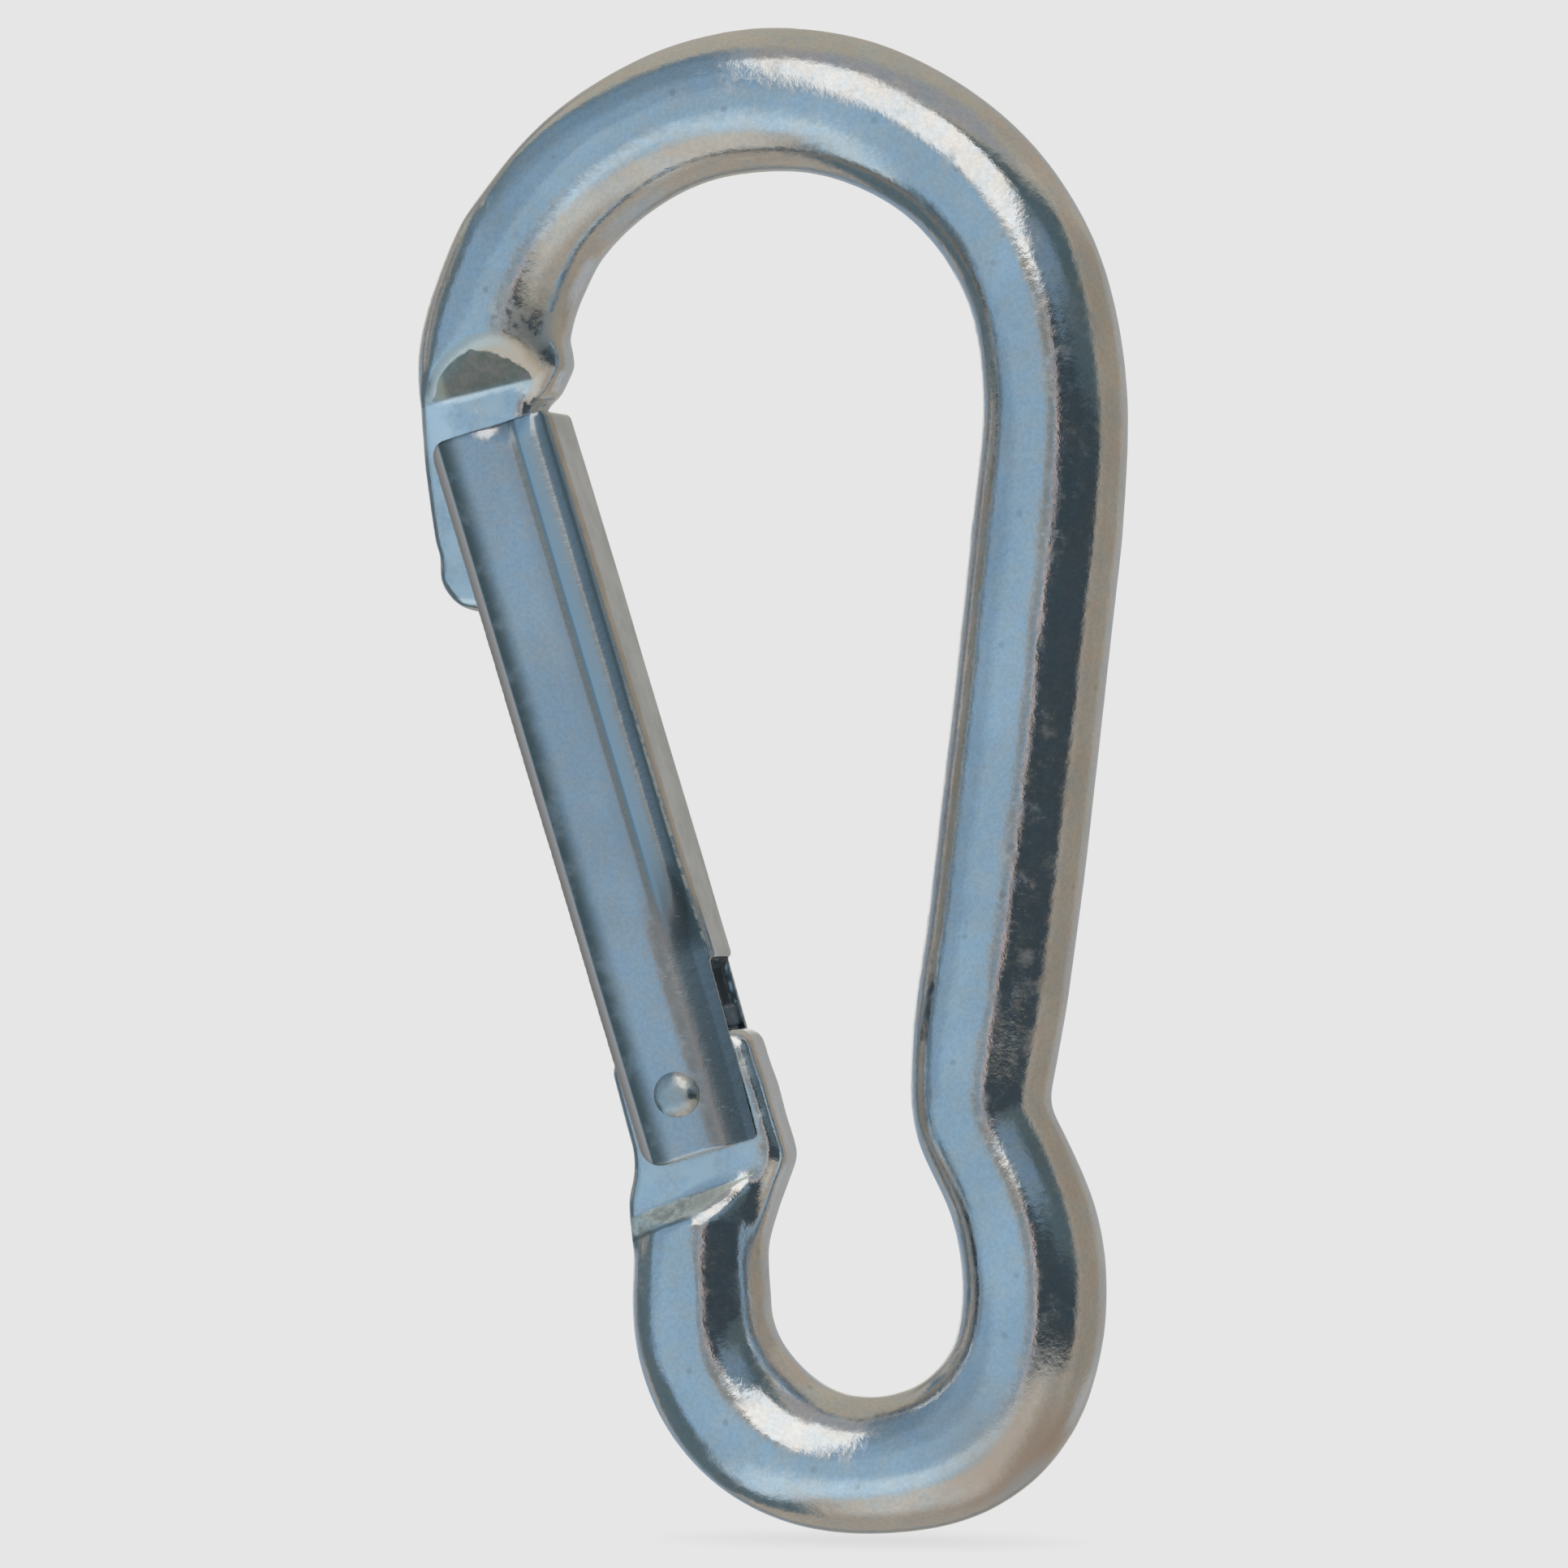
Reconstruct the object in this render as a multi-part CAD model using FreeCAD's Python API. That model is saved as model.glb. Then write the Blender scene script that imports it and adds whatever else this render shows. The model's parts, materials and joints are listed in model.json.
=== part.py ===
import FreeCAD, Part
import math
import os

V = FreeCAD.Vector
os.makedirs("parts", exist_ok=True)

# ---------------------------------------------------------------- driving dimensions (mm)
# Frame: origin at the centre of the small rope eye, +Z up the length, +X towards the long leg,
# +Y along the hinge rivet.
NOSE_JOIN = 12.0                 # distance along the rod where the nose end begins its run
ROD_R = 5.0                      # rod radius across the hook's plane (thickness 10)
TONGUE_T = 2.7                   # half thickness of the two flattened rod ends
EDGE_R = 1.1                     # rounding of the flattened ends' edges
NOSE_RIM, FOOT_RIM = 1.4, 0.7    # rounding where the flattened ends' slopes meet the round rod

# centreline of the bent rod: start point, heading, then tangent arcs (length, signed radius)
START_X, START_Z, START_HEADING = -25.61, 58.20, 96.4
BENDS = [
    (32.46, -19.31),             # bow, nose side
    (25.77, -18.79),             # bow, leg side
    (9.47, -31.46),              # run-out of the bow
    (41.54, -1183.0),            # long leg, very slightly bowed
    (2.92, 4.60),                # sharp kink above the rope eye
    (2.62, -86.0),
    (12.35, -17.74),             # shoulder and right side of the eye
    (10.18, -9.80),
    (6.01, -14.30),              # bottom of the eye
    (15.80, -10.73),             # left side of the eye
]
# in-plane half width of the rod at distances along the centreline
WIDTHS = [(0.0, 4.30), (3.0, 5.0), (6.0, 4.95), (10.0, 4.78), (15.6, 4.58), (22.4, 4.58),
          (32.5, 4.78), (38.0, 4.72), (45.6, 4.60), (55.4, 4.60), (64.6, 4.84), (72.0, 5.0),
          (103.0, 5.0), (108.0, 4.74), (110.8, 4.48), (114.0, 4.52), (123.1, 4.74),
          (132.6, 4.86), (141.7, 4.56), (150.5, 4.84), (158.6, 4.62), (175.0, 4.50)]

# hinge and gate frame: w runs inwards across the gate, u runs up the gate
PIVOT_X, PIVOT_Z = -12.07, 13.65
LEAN = math.radians(17.1)
GATE_LOW, GATE_HIGH = -4.25, 46.2
GATE_LEFT, GATE_BACK = -3.76, 4.85
GATE_Y = 4.1                     # outer half width of the folded sheet
SHEET = 1.0
FOLD_R = 1.2                     # outer radius of the fold from the back into each cheek
CREASE_W, CHEEK_TILT = 2.3, math.radians(10.0)   # beyond the crease a cheek leans in by this angle
ROLL_W, ROLL_Y = 1.8, 0.85       # the cheeks' free edges curl inwards over this width and depth
SLOT_TOP = 8.05                  # the back is cut away up to here, round the hinge tongue
RIVET_R, RIVET_HEAD_R, RIVET_HEAD_H = 1.0, 1.52, 0.62
HINGE_HOLE_R = 1.05
NOSE_CLEAR_W, NOSE_CLEAR_U = 3.4, 46.9   # the nose end stays out of the gate's top end beyond these
SEAT_LOW, SEAT_T = 23.0, 1.0     # spring seat inside the gate
HEAD_LOW, HEAD_T = 3.62, 1.4     # plunger head
SHANK_R, SHANK_TOP = 1.0, 27.5
SPRING_R, WIRE_R, COILS = 2.2, 0.4, 10.0


def gate_pt(w, u, y=0.0):
    c, s = math.cos(LEAN), math.sin(LEAN)
    return V(PIVOT_X + w * c - u * s, y, PIVOT_Z + w * s + u * c)


GATE_UP = V(-math.sin(LEAN), 0, math.cos(LEAN))
GATE_IN = V(math.cos(LEAN), 0, math.sin(LEAN))


def width_at(s):
    if s <= WIDTHS[0][0]:
        return WIDTHS[0][1]
    for (s0, a0), (s1, a1) in zip(WIDTHS, WIDTHS[1:]):
        if s <= s1:
            t = (s - s0) / (s1 - s0)
            t = t * t * (3 - 2 * t)
            return a0 + (a1 - a0) * t
    return WIDTHS[-1][1]


def centreline():
    """Points (x, z, heading, distance) along the bent rod."""
    x, z, h, s = START_X, START_Z, math.radians(START_HEADING), 0.0
    out = [(x, z, h, s)]
    for length, radius in BENDS:
        curve = 1.0 / radius if radius else 0.0
        if abs(radius) < 8 and radius:
            step = 0.8
        elif abs(radius) > 200:
            step = 7.0
        elif abs(radius) > 15:
            step = 3.3
        else:
            step = 2.1
        count = max(1, int(round(length / step)))
        ds = length / count
        for _ in range(count):
            turn = curve * ds
            if abs(turn) > 1e-9:
                chord = 2 * math.sin(turn / 2) / curve
            else:
                chord = ds
            x += chord * math.cos(h + turn / 2)
            z += chord * math.sin(h + turn / 2)
            h += turn
            s += ds
            out.append((x, z, h, s))
    return out


def section(x, z, heading, a, b=ROD_R):
    """Ellipse across the rod: a in the hook's plane, b along Y."""
    c = V(x, 0, z)
    n = V(math.sin(heading), 0, -math.cos(heading))
    e = Part.Ellipse(c + V(0, b, 0), c + n * min(a, b - 0.001), c)
    return Part.Wire([e.toShape()])


def outline_face(points, y):
    """Face in the plane Y = y from corners (x, z, corner radius)."""
    edges = []
    n = len(points)
    ends = []
    for i in range(n):
        p = V(points[i][0], y, points[i][1])
        a = V(points[i - 1][0], y, points[i - 1][1])
        b = V(points[(i + 1) % n][0], y, points[(i + 1) % n][1])
        r = points[i][2]
        da, db = (a - p), (b - p)
        da.normalize()
        db.normalize()
        ang = da.getAngle(db)
        if r <= 0 or ang > math.pi - 0.02:
            ends.append((p, p, None))
            continue
        t = r / math.tan(ang / 2)
        mid = da + db
        mid.normalize()
        ctr = p + mid * (r / math.sin(ang / 2))
        ends.append((p + da * t, p + db * t, ctr - mid * r))
    for i in range(n):
        p_in, p_out, m = ends[i]
        if m is not None:
            edges.append(Part.Arc(p_in, m, p_out).toShape())
        nxt = ends[(i + 1) % n][0]
        if (nxt - p_out).Length > 1e-6:
            edges.append(Part.makeLine(p_out, nxt))
    return Part.Face(Part.Wire(edges))


def plate(points, half, edge_r):
    s = outline_face(points, -half).extrude(V(0, 2 * half, 0))
    rims = [e for e in s.Edges
            if abs(abs(e.BoundBox.YMin) - half) < 1e-4 and e.BoundBox.YLength < 1e-4]
    return s.makeFillet(edge_r, rims) if edge_r > 0 else s


def shoulder_cut(ax, az, bx, bz, slope_len, side, away):
    """Wedge removed from one face of the rod: flat at TONGUE_T on the tongue side of the line a-b,
    then a slope that reaches the rod's surface slope_len further on."""
    a, b = V(ax, 0, az), V(bx, 0, bz)
    d = b - a
    d.normalize()
    up = V(-d.z, 0, d.x) * away
    k = slope_len / (ROD_R - TONGUE_T)
    far = 9.0
    pts = [(0.0, TONGUE_T), (-22.0, TONGUE_T), (-22.0, far), ((far - TONGUE_T) * k, far)]
    o = a - d * 8
    ring = [o + up * v + V(0, side * y, 0) for v, y in pts]
    face = Part.Face(Part.makePolygon(ring + [ring[0]]))
    return face.extrude(d * ((b - a).Length + 16))


def rod_parts():
    """The bent rod as three lofts: nose end, main run, hinge end."""
    line = centreline()
    x0, z0, h0, _ = line[0]
    nose = [section(x0 - 1.2 * math.cos(h0), z0 - 1.2 * math.sin(h0), h0, 3.7)]
    main, foot = [], []
    end_s = line[-1][3]
    for x, z, h, s in line:
        wire = section(x, z, h, width_at(s))
        if s < NOSE_JOIN:
            nose.append(wire)
        elif not main:
            nose.append(wire)
            main.append(wire)
        elif s < end_s - 1e-6:
            main.append(wire)
        else:
            main.append(wire)
            foot.append(wire)
    up = math.radians(-270 - 360)
    foot.append(section(-11.29, 1.9, up, 4.50))
    foot.append(section(-11.24, 4.0, up, 4.46))
    foot.append(section(-11.05, 6.2, up, 4.34))
    foot.append(section(-10.75, 8.9, up, 4.05))
    return [Part.makeLoft(w, True, False) for w in (nose, main, foot)]


def hinge_tongue():
    def c(w, u, r):
        p = gate_pt(w, u)
        return (p.x, p.z, r)
    pts = [c(-4.35, 3.60, 1.2), c(-4.50, -3.2, 6.0), (-15.90, 6.4, 4.0), (-15.55, 2.9, 3.0),
           (-13.8, 0.6, 0.0), (-8.8, 0.6, 0.0), (-7.1, 3.2, 3.0), (-6.55, 5.1, 4.0),
           c(5.50, -6.2, 2.2), c(5.50, 2.75, 1.3), c(3.1, 3.60, 3.0)]
    return plate(pts, TONGUE_T, EDGE_R)


def nose_tongue():
    def c(w, u, r):
        p = gate_pt(w, u)
        return (p.x, p.z, r)
    pts = [(-28.4, 64.4, 1.5), (-30.12, 61.0, 4.0), (-30.12, 58.0, 12.0), (-29.90, 55.1, 12.0),
           (-29.5, 52.75, 12.0), (-29.14, 50.2, 1.6), (-28.84, 49.4, 1.6), (-28.80, 47.6, 2.2),
           (-27.65, 46.05, 2.6), c(-3.4, 34.40, 2.2), c(3.45, 34.4, 2.6),
           c(3.45, 46.85, 0.7), (-21.40, 60.60, 1.3), (-20.02, 61.80, 1.25), (-20.45, 63.4, 1.5),
           (-22.0, 65.6, 1.5)]
    return plate(pts, TONGUE_T, EDGE_R)


def soften_rim(rod, radius):
    """Round the curved edges where the two slopes cut the rod's surface."""
    rod = rod.Solids[0]
    rims = [e for e in rod.Edges
            if isinstance(e.Curve, Part.BSplineCurve) and e.BoundBox.YLength > 1.0
            and (e.BoundBox.YMax < -TONGUE_T + 0.1 or e.BoundBox.YMin > TONGUE_T - 0.1)]
    return rod.makeFillet(radius, rims)


def gate_room():
    """Block behind the gate's top end that the nose end is cut clear of."""
    ring = [gate_pt(NOSE_CLEAR_W, 40, -8), gate_pt(9, 40, -8), gate_pt(9, NOSE_CLEAR_U, -8),
            gate_pt(NOSE_CLEAR_W, NOSE_CLEAR_U, -8)]
    return Part.Face(Part.makePolygon(ring + [ring[0]])).extrude(V(0, 16, 0))


def hook_body():
    nose, main, foot = rod_parts()
    for side in (-1, 1):
        nose = nose.cut(shoulder_cut(-29.7, 59.3, -21.35, 61.16, 3.2, side, 1))
        foot = foot.cut(shoulder_cut(-15.2, 5.45, -7.8, 8.2, 1.4, side, -1))
    nose = soften_rim(nose, NOSE_RIM).cut(gate_room()).fuse(nose_tongue())
    foot = soften_rim(foot, FOOT_RIM).fuse(hinge_tongue())
    hole = Part.makeCylinder(HINGE_HOLE_R, 14, V(PIVOT_X, -7, PIVOT_Z), V(0, 1, 0))
    foot = foot.cut(hole)
    return main.fuse(nose).fuse(foot)


def gate_section(u):
    """Folded sheet across the gate: flat back, two folds, two cheeks with rolled free edges."""
    def p(w, y):
        return gate_pt(w, u, y)

    def fold_pt(radius, angle, side):
        return p(fold_w + radius * math.sin(angle), side * (fold_y + radius * math.cos(angle)))
    inner_r = FOLD_R - SHEET
    left, back = GATE_LEFT, GATE_BACK
    fold_w = back - FOLD_R
    lean_end = fold_w + FOLD_R * math.sin(CHEEK_TILT)
    fold_y = (GATE_Y - (lean_end - CREASE_W) * math.tan(CHEEK_TILT) - FOLD_R * math.cos(CHEEK_TILT))
    in_y = GATE_Y - SHEET
    mid_tilt = (math.pi / 2 + CHEEK_TILT) / 2
    edges = []
    for s in (1, -1):
        edges += [
            Part.makeLine(p(back - SHEET, 0), p(back - SHEET, s * fold_y)),
            Part.Arc(p(back - SHEET, s * fold_y), fold_pt(inner_r, mid_tilt, s),
                     fold_pt(inner_r, CHEEK_TILT, s)).toShape(),
            Part.makeLine(fold_pt(inner_r, CHEEK_TILT, s), p(CREASE_W, s * in_y)),
            Part.Arc(p(CREASE_W, s * in_y), p(-0.6, s * (in_y + 0.06)),
                     p(left + 0.3, s * (in_y - 0.1))).toShape(),
            Part.Arc(p(left + 0.3, s * (in_y - 0.1)), p(left + 0.06, s * in_y),
                     p(left, s * (GATE_Y - ROLL_Y))).toShape(),
            Part.Arc(p(left, s * (GATE_Y - ROLL_Y)),
                     p(left + 0.3 * ROLL_W, s * (GATE_Y - 0.3 * ROLL_Y)),
                     p(left + ROLL_W, s * GATE_Y)).toShape(),
            Part.Arc(p(left + ROLL_W, s * GATE_Y), p(0.2, s * (GATE_Y + 0.06)),
                     p(CREASE_W, s * GATE_Y)).toShape(),
            Part.makeLine(p(CREASE_W, s * GATE_Y), fold_pt(FOLD_R, CHEEK_TILT, s)),
            Part.Arc(fold_pt(FOLD_R, CHEEK_TILT, s), fold_pt(FOLD_R, mid_tilt, s),
                     p(back, s * fold_y)).toShape(),
            Part.makeLine(p(back, s * fold_y), p(back, 0)),
        ]
    return Part.Face(Part.Wire(Part.__sortEdges__(edges)))


def gate():
    blank = gate_section(GATE_LOW).extrude(GATE_UP * (GATE_HIGH - GATE_LOW))
    frame = []
    for w, u, r in ((GATE_LEFT - 0.02, GATE_LOW, 1.7), (GATE_BACK + 0.02, GATE_LOW, 1.0),
                    (GATE_BACK + 0.02, GATE_HIGH, 0.7), (GATE_LEFT - 0.02, GATE_HIGH, 1.3)):
        p = gate_pt(w, u)
        frame.append((p.x, p.z, r))
    sil = outline_face(frame, -8).extrude(V(0, 16, 0))
    shape = blank.common(sil)
    # the back is open round the hinge tongue
    yi = GATE_Y - SHEET
    ring = [gate_pt(1.6, -7, -yi), gate_pt(7.5, -7, -yi), gate_pt(7.5, SLOT_TOP, -yi),
            gate_pt(1.6, SLOT_TOP, -yi)]
    slot = Part.Face(Part.makePolygon(ring + [ring[0]])).extrude(V(0, 2 * yi, 0))
    corners = [e for e in slot.Edges
               if e.BoundBox.YLength < 1e-6 and
               abs((e.Vertexes[0].Point - gate_pt(1.6, SLOT_TOP, e.Vertexes[0].Point.y)).dot(GATE_UP))
               < 1e-6 and
               abs((e.Vertexes[-1].Point - gate_pt(1.6, SLOT_TOP, e.Vertexes[-1].Point.y)).dot(GATE_UP))
               < 1e-6]
    slot = slot.makeFillet(0.8, corners)
    shape = shape.cut(slot)
    ring = [gate_pt(4.45, SLOT_TOP, -8), gate_pt(4.05, -7, -8), gate_pt(8, -7, -8),
            gate_pt(8, SLOT_TOP, -8)]
    shape = shape.cut(Part.Face(Part.makePolygon(ring + [ring[0]])).extrude(V(0, 16, 0)))
    # spring seat: a pressed-in shelf across the inside, with a hole for the shank
    ring = [gate_pt(-2.8, SEAT_LOW, -3.45), gate_pt(4.1, SEAT_LOW, -3.45),
            gate_pt(4.1, SEAT_LOW + SEAT_T, -3.45), gate_pt(-2.8, SEAT_LOW + SEAT_T, -3.45)]
    seat = Part.Face(Part.makePolygon(ring + [ring[0]])).extrude(V(0, 6.9, 0))
    seat = seat.cut(Part.makeCylinder(SHANK_R + 0.15, 6, gate_pt(0, SEAT_LOW - 2), GATE_UP))
    shape = shape.fuse(seat)
    hole = Part.makeCylinder(RIVET_R, 14, V(PIVOT_X, -7, PIVOT_Z), V(0, 1, 0))
    return shape.cut(hole)


def hinge_rivet():
    y0 = GATE_Y + 0.1
    ball = (RIVET_HEAD_R ** 2 + RIVET_HEAD_H ** 2) / (2 * RIVET_HEAD_H)
    pin = Part.makeCylinder(RIVET_R, 2 * y0, V(PIVOT_X, -y0, PIVOT_Z), V(0, 1, 0))
    for s in (-1, 1):
        base = V(PIVOT_X, s * y0, PIVOT_Z)
        dome = Part.makeSphere(ball, base + V(0, s * (RIVET_HEAD_H - ball), 0))
        keep = Part.makeCylinder(RIVET_HEAD_R, 2, base, V(0, s, 0))
        pin = pin.fuse(dome.common(keep))
    return pin.removeSplitter()


def spring_plunger():
    ring = []
    for w, y in ((-3.3, -2.85), (3.3, -2.85), (3.3, 2.85), (-3.3, 2.85)):
        ring.append(gate_pt(w, HEAD_LOW, y))
    head = Part.Face(Part.makePolygon(ring + [ring[0]])).extrude(GATE_UP * HEAD_T)
    posts = [e for e in head.Edges
             if abs((e.Vertexes[0].Point - e.Vertexes[-1].Point).Length - HEAD_T) < 1e-6]
    head = head.makeFillet(0.7, posts)
    shank = Part.makeCylinder(SHANK_R, SHANK_TOP - HEAD_LOW - 0.5, gate_pt(0, HEAD_LOW + 0.5), GATE_UP)
    tip = [e for e in shank.Edges if abs((e.BoundBox.Center - gate_pt(0, SHANK_TOP)).Length) < 0.2]
    shank = shank.makeChamfer(0.3, tip)
    return head.fuse(shank).removeSplitter()


def gate_spring():
    low = HEAD_LOW + HEAD_T + 0.03 + WIRE_R
    high = SEAT_LOW - 0.03 - WIRE_R
    pitch = (high - low) / COILS
    helix = Part.makeHelix(pitch, high - low, SPRING_R)
    ring = Part.Wire([Part.Circle(V(SPRING_R, 0, 0), V(0, 1, pitch / (2 * math.pi * SPRING_R)),
                                  WIRE_R).toShape()])
    coil = Part.Wire(helix.Edges).makePipeShell([ring], True, True)
    coil.Placement = FreeCAD.Placement(gate_pt(0, low),
                                       FreeCAD.Rotation(V(0, 1, 0), -math.degrees(LEAN)))
    return coil


PARTS = {
    "hook_body": hook_body,
    "gate": gate,
    "hinge_rivet": hinge_rivet,
    "gate_spring": gate_spring,
    "spring_plunger": spring_plunger,
}

for name, make in PARTS.items():
    shape = make()
    if shape.ShapeType == "Compound" and len(shape.Solids) == 1:
        shape = shape.Solids[0]
    print(name, shape.ShapeType, shape.isValid(), len(shape.Solids), round(shape.Volume, 2))
    shape.exportStep("parts/%s.step" % name)
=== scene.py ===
"""Looks for the spring snap hook: zinc-plated rod and gate, camera, light and floor."""
import json
import math

import bmesh
import bpy
import numpy as np
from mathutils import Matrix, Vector, noise


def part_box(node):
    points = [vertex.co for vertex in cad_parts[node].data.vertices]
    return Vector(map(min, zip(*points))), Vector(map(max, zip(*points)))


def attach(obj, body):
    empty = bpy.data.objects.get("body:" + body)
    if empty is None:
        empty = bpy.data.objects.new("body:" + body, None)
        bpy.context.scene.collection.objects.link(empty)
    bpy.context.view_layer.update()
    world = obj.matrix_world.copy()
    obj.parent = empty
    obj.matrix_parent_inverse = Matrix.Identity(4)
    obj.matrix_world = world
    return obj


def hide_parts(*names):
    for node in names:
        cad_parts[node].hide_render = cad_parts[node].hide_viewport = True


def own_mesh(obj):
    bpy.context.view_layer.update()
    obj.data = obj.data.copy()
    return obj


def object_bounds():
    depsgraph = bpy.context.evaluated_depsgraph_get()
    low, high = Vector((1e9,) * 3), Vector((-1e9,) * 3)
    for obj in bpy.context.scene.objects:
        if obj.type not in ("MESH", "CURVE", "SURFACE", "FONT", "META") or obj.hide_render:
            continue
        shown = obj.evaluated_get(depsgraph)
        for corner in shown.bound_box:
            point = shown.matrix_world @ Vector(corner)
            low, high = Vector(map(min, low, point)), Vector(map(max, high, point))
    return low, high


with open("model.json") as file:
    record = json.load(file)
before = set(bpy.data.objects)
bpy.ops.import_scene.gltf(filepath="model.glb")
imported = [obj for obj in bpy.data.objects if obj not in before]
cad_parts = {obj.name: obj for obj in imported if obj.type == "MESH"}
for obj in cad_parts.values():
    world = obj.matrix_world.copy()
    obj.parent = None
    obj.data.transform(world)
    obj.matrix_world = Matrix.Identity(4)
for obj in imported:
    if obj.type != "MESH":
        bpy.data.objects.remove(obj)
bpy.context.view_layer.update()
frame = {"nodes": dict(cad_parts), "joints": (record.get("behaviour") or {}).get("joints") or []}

MM = 0.001                           # a millimetre in metres
TO_MM = (1000.0, 1000.0, 1000.0)     # turns a shader's metres into millimetres

# ------------------------------------------------------------------ camera
AZIMUTH = math.radians(12.0)         # the camera stands a little to the leg's side
AIM = Vector((-0.0057, 0.0, 0.0342))
DISTANCE = 0.579
LENS, SENSOR = 200.0, 36.0           # millimetres
CLIP_START, CLIP_END = 0.01, 20.0
RIGHT = Vector((math.cos(AZIMUTH), math.sin(AZIMUTH), 0.0))
BACK = Vector((math.sin(AZIMUTH), -math.cos(AZIMUTH), 0.0))   # from the object to the camera
UP = Vector((0.0, 0.0, 1.0))


def make_camera():
    data = bpy.data.cameras.new("camera")
    data.lens = LENS
    data.sensor_width = SENSOR
    data.clip_start = CLIP_START
    data.clip_end = CLIP_END
    cam = bpy.data.objects.new("camera", data)
    bpy.context.scene.collection.objects.link(cam)
    cam.location = AIM + BACK * DISTANCE
    cam.rotation_euler = (-BACK).to_track_quat("-Z", "Y").to_euler()
    bpy.context.scene.camera = cam
    bpy.context.scene.view_settings.view_transform = "Standard"


# ------------------------------------------------------------------ node helpers
class Graph:
    """Adds shader nodes to a tree and links them; an input may be a socket or a plain value."""

    def __init__(self, tree):
        tree.nodes.clear()
        self.tree = tree

    def add(self, kind, **settings):
        node = self.tree.nodes.new(kind)
        for key, value in settings.items():
            setattr(node, key, value)
        return node

    def put(self, socket, value):
        if isinstance(value, bpy.types.NodeSocket):
            self.tree.links.new(value, socket)
        elif isinstance(value, (tuple, list, Vector)):
            size = len(socket.default_value)
            value = tuple(value)
            if len(value) == 3 and size == 4:
                value = value + (1.0,)
            socket.default_value = value
        else:
            socket.default_value = value

    def math(self, op, a, b=None):
        node = self.add("ShaderNodeMath", operation=op)
        self.put(node.inputs[0], a)
        if b is not None:
            self.put(node.inputs[1], b)
        return node.outputs[0]

    def plus(self, a, b):
        return self.math("ADD", a, b)

    def minus(self, a, b):
        return self.math("SUBTRACT", a, b)

    def times(self, a, b):
        return self.math("MULTIPLY", a, b)

    def size(self, a):
        return self.math("ABSOLUTE", a)

    def vec(self, op, a, b=None):
        node = self.add("ShaderNodeVectorMath", operation=op)
        self.put(node.inputs[0], a)
        if b is not None:
            self.put(node.inputs[1], b)
        return node.outputs["Value"] if op in ("DOT_PRODUCT", "LENGTH") else node.outputs[0]

    def along(self, point, origin, direction):
        """How far point lies from origin along a unit direction."""
        return self.vec("DOT_PRODUCT", self.vec("SUBTRACT", point, origin), direction)

    def distance(self, point, centre):
        return self.vec("LENGTH", self.vec("SUBTRACT", point, centre))

    def split(self, vector):
        """The x, y and z of a vector."""
        node = self.add("ShaderNodeSeparateXYZ")
        self.put(node.inputs[0], vector)
        return node.outputs

    def step(self, value, low, high, to_low=0.0, to_high=1.0):
        """to_low where value is under low, to_high where it is over high, smooth between."""
        node = self.add("ShaderNodeMapRange", interpolation_type="SMOOTHSTEP")
        self.put(node.inputs["Value"], value)
        self.put(node.inputs["From Min"], low)
        self.put(node.inputs["From Max"], high)
        self.put(node.inputs["To Min"], to_low)
        self.put(node.inputs["To Max"], to_high)
        return node.outputs["Result"]

    def below(self, value, low, high):
        """1 where value is under low, 0 where it is over high."""
        return self.step(value, low, high, 1.0, 0.0)

    def band(self, value, low, high, soft):
        """1 where value lies between low and high, with soft ends."""
        return self.times(self.step(value, low - soft, low), self.below(value, high, high + soft))

    def mix(self, factor, a, b, blend="MIX"):
        node = self.add("ShaderNodeMix", data_type="RGBA", blend_type=blend)
        self.put(node.inputs[0], factor)
        self.put(node.inputs[6], a)
        self.put(node.inputs[7], b)
        return node.outputs[2]

    def all_of(self, *masks):
        out = masks[0]
        for mask in masks[1:]:
            out = self.times(out, mask)
        return out

    def noise(self, vector, scale, detail, rough=0.5):
        """The outputs of a noise texture: value, then colour."""
        node = self.add("ShaderNodeTexNoise")
        self.put(node.inputs["Vector"], vector)
        self.put(node.inputs["Scale"], scale)
        self.put(node.inputs["Detail"], detail)
        self.put(node.inputs["Roughness"], rough)
        self.put(node.inputs["Distortion"], 0.0)
        return node.outputs


def srgb(r, g, b):
    """Linear colour from display values 0-255."""
    def one(v):
        v /= 255.0
        return v / 12.92 if v <= 0.04045 else ((v + 0.055) / 1.055) ** 2.4
    return (one(r), one(g), one(b))


def scaled(colour, share):
    return tuple(c * share for c in colour)


# ------------------------------------------------------------------ surroundings
METAL_LEVEL = 0.74                   # what the plated metal gives back of a light grey
BACKDROP = srgb(230, 230, 230)
WALL_LOW, WALL_HIGH = (153, 146, 136), (160, 155, 143)   # beige walls, darker low than high
WALL_REACH = 60.0                    # degrees below and above the camera where those two are pure
WANDER_SCALE = 2.6                   # how finely the panels' edges wander
WOBBLE = 12.0                        # and how far, in degrees
BEHIND_FROM, BEHIND_TO = 136.0, 152.0    # degrees off the camera where the back of the room begins
TINY = 1e-6                          # keeps a division from meeting zero

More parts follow.
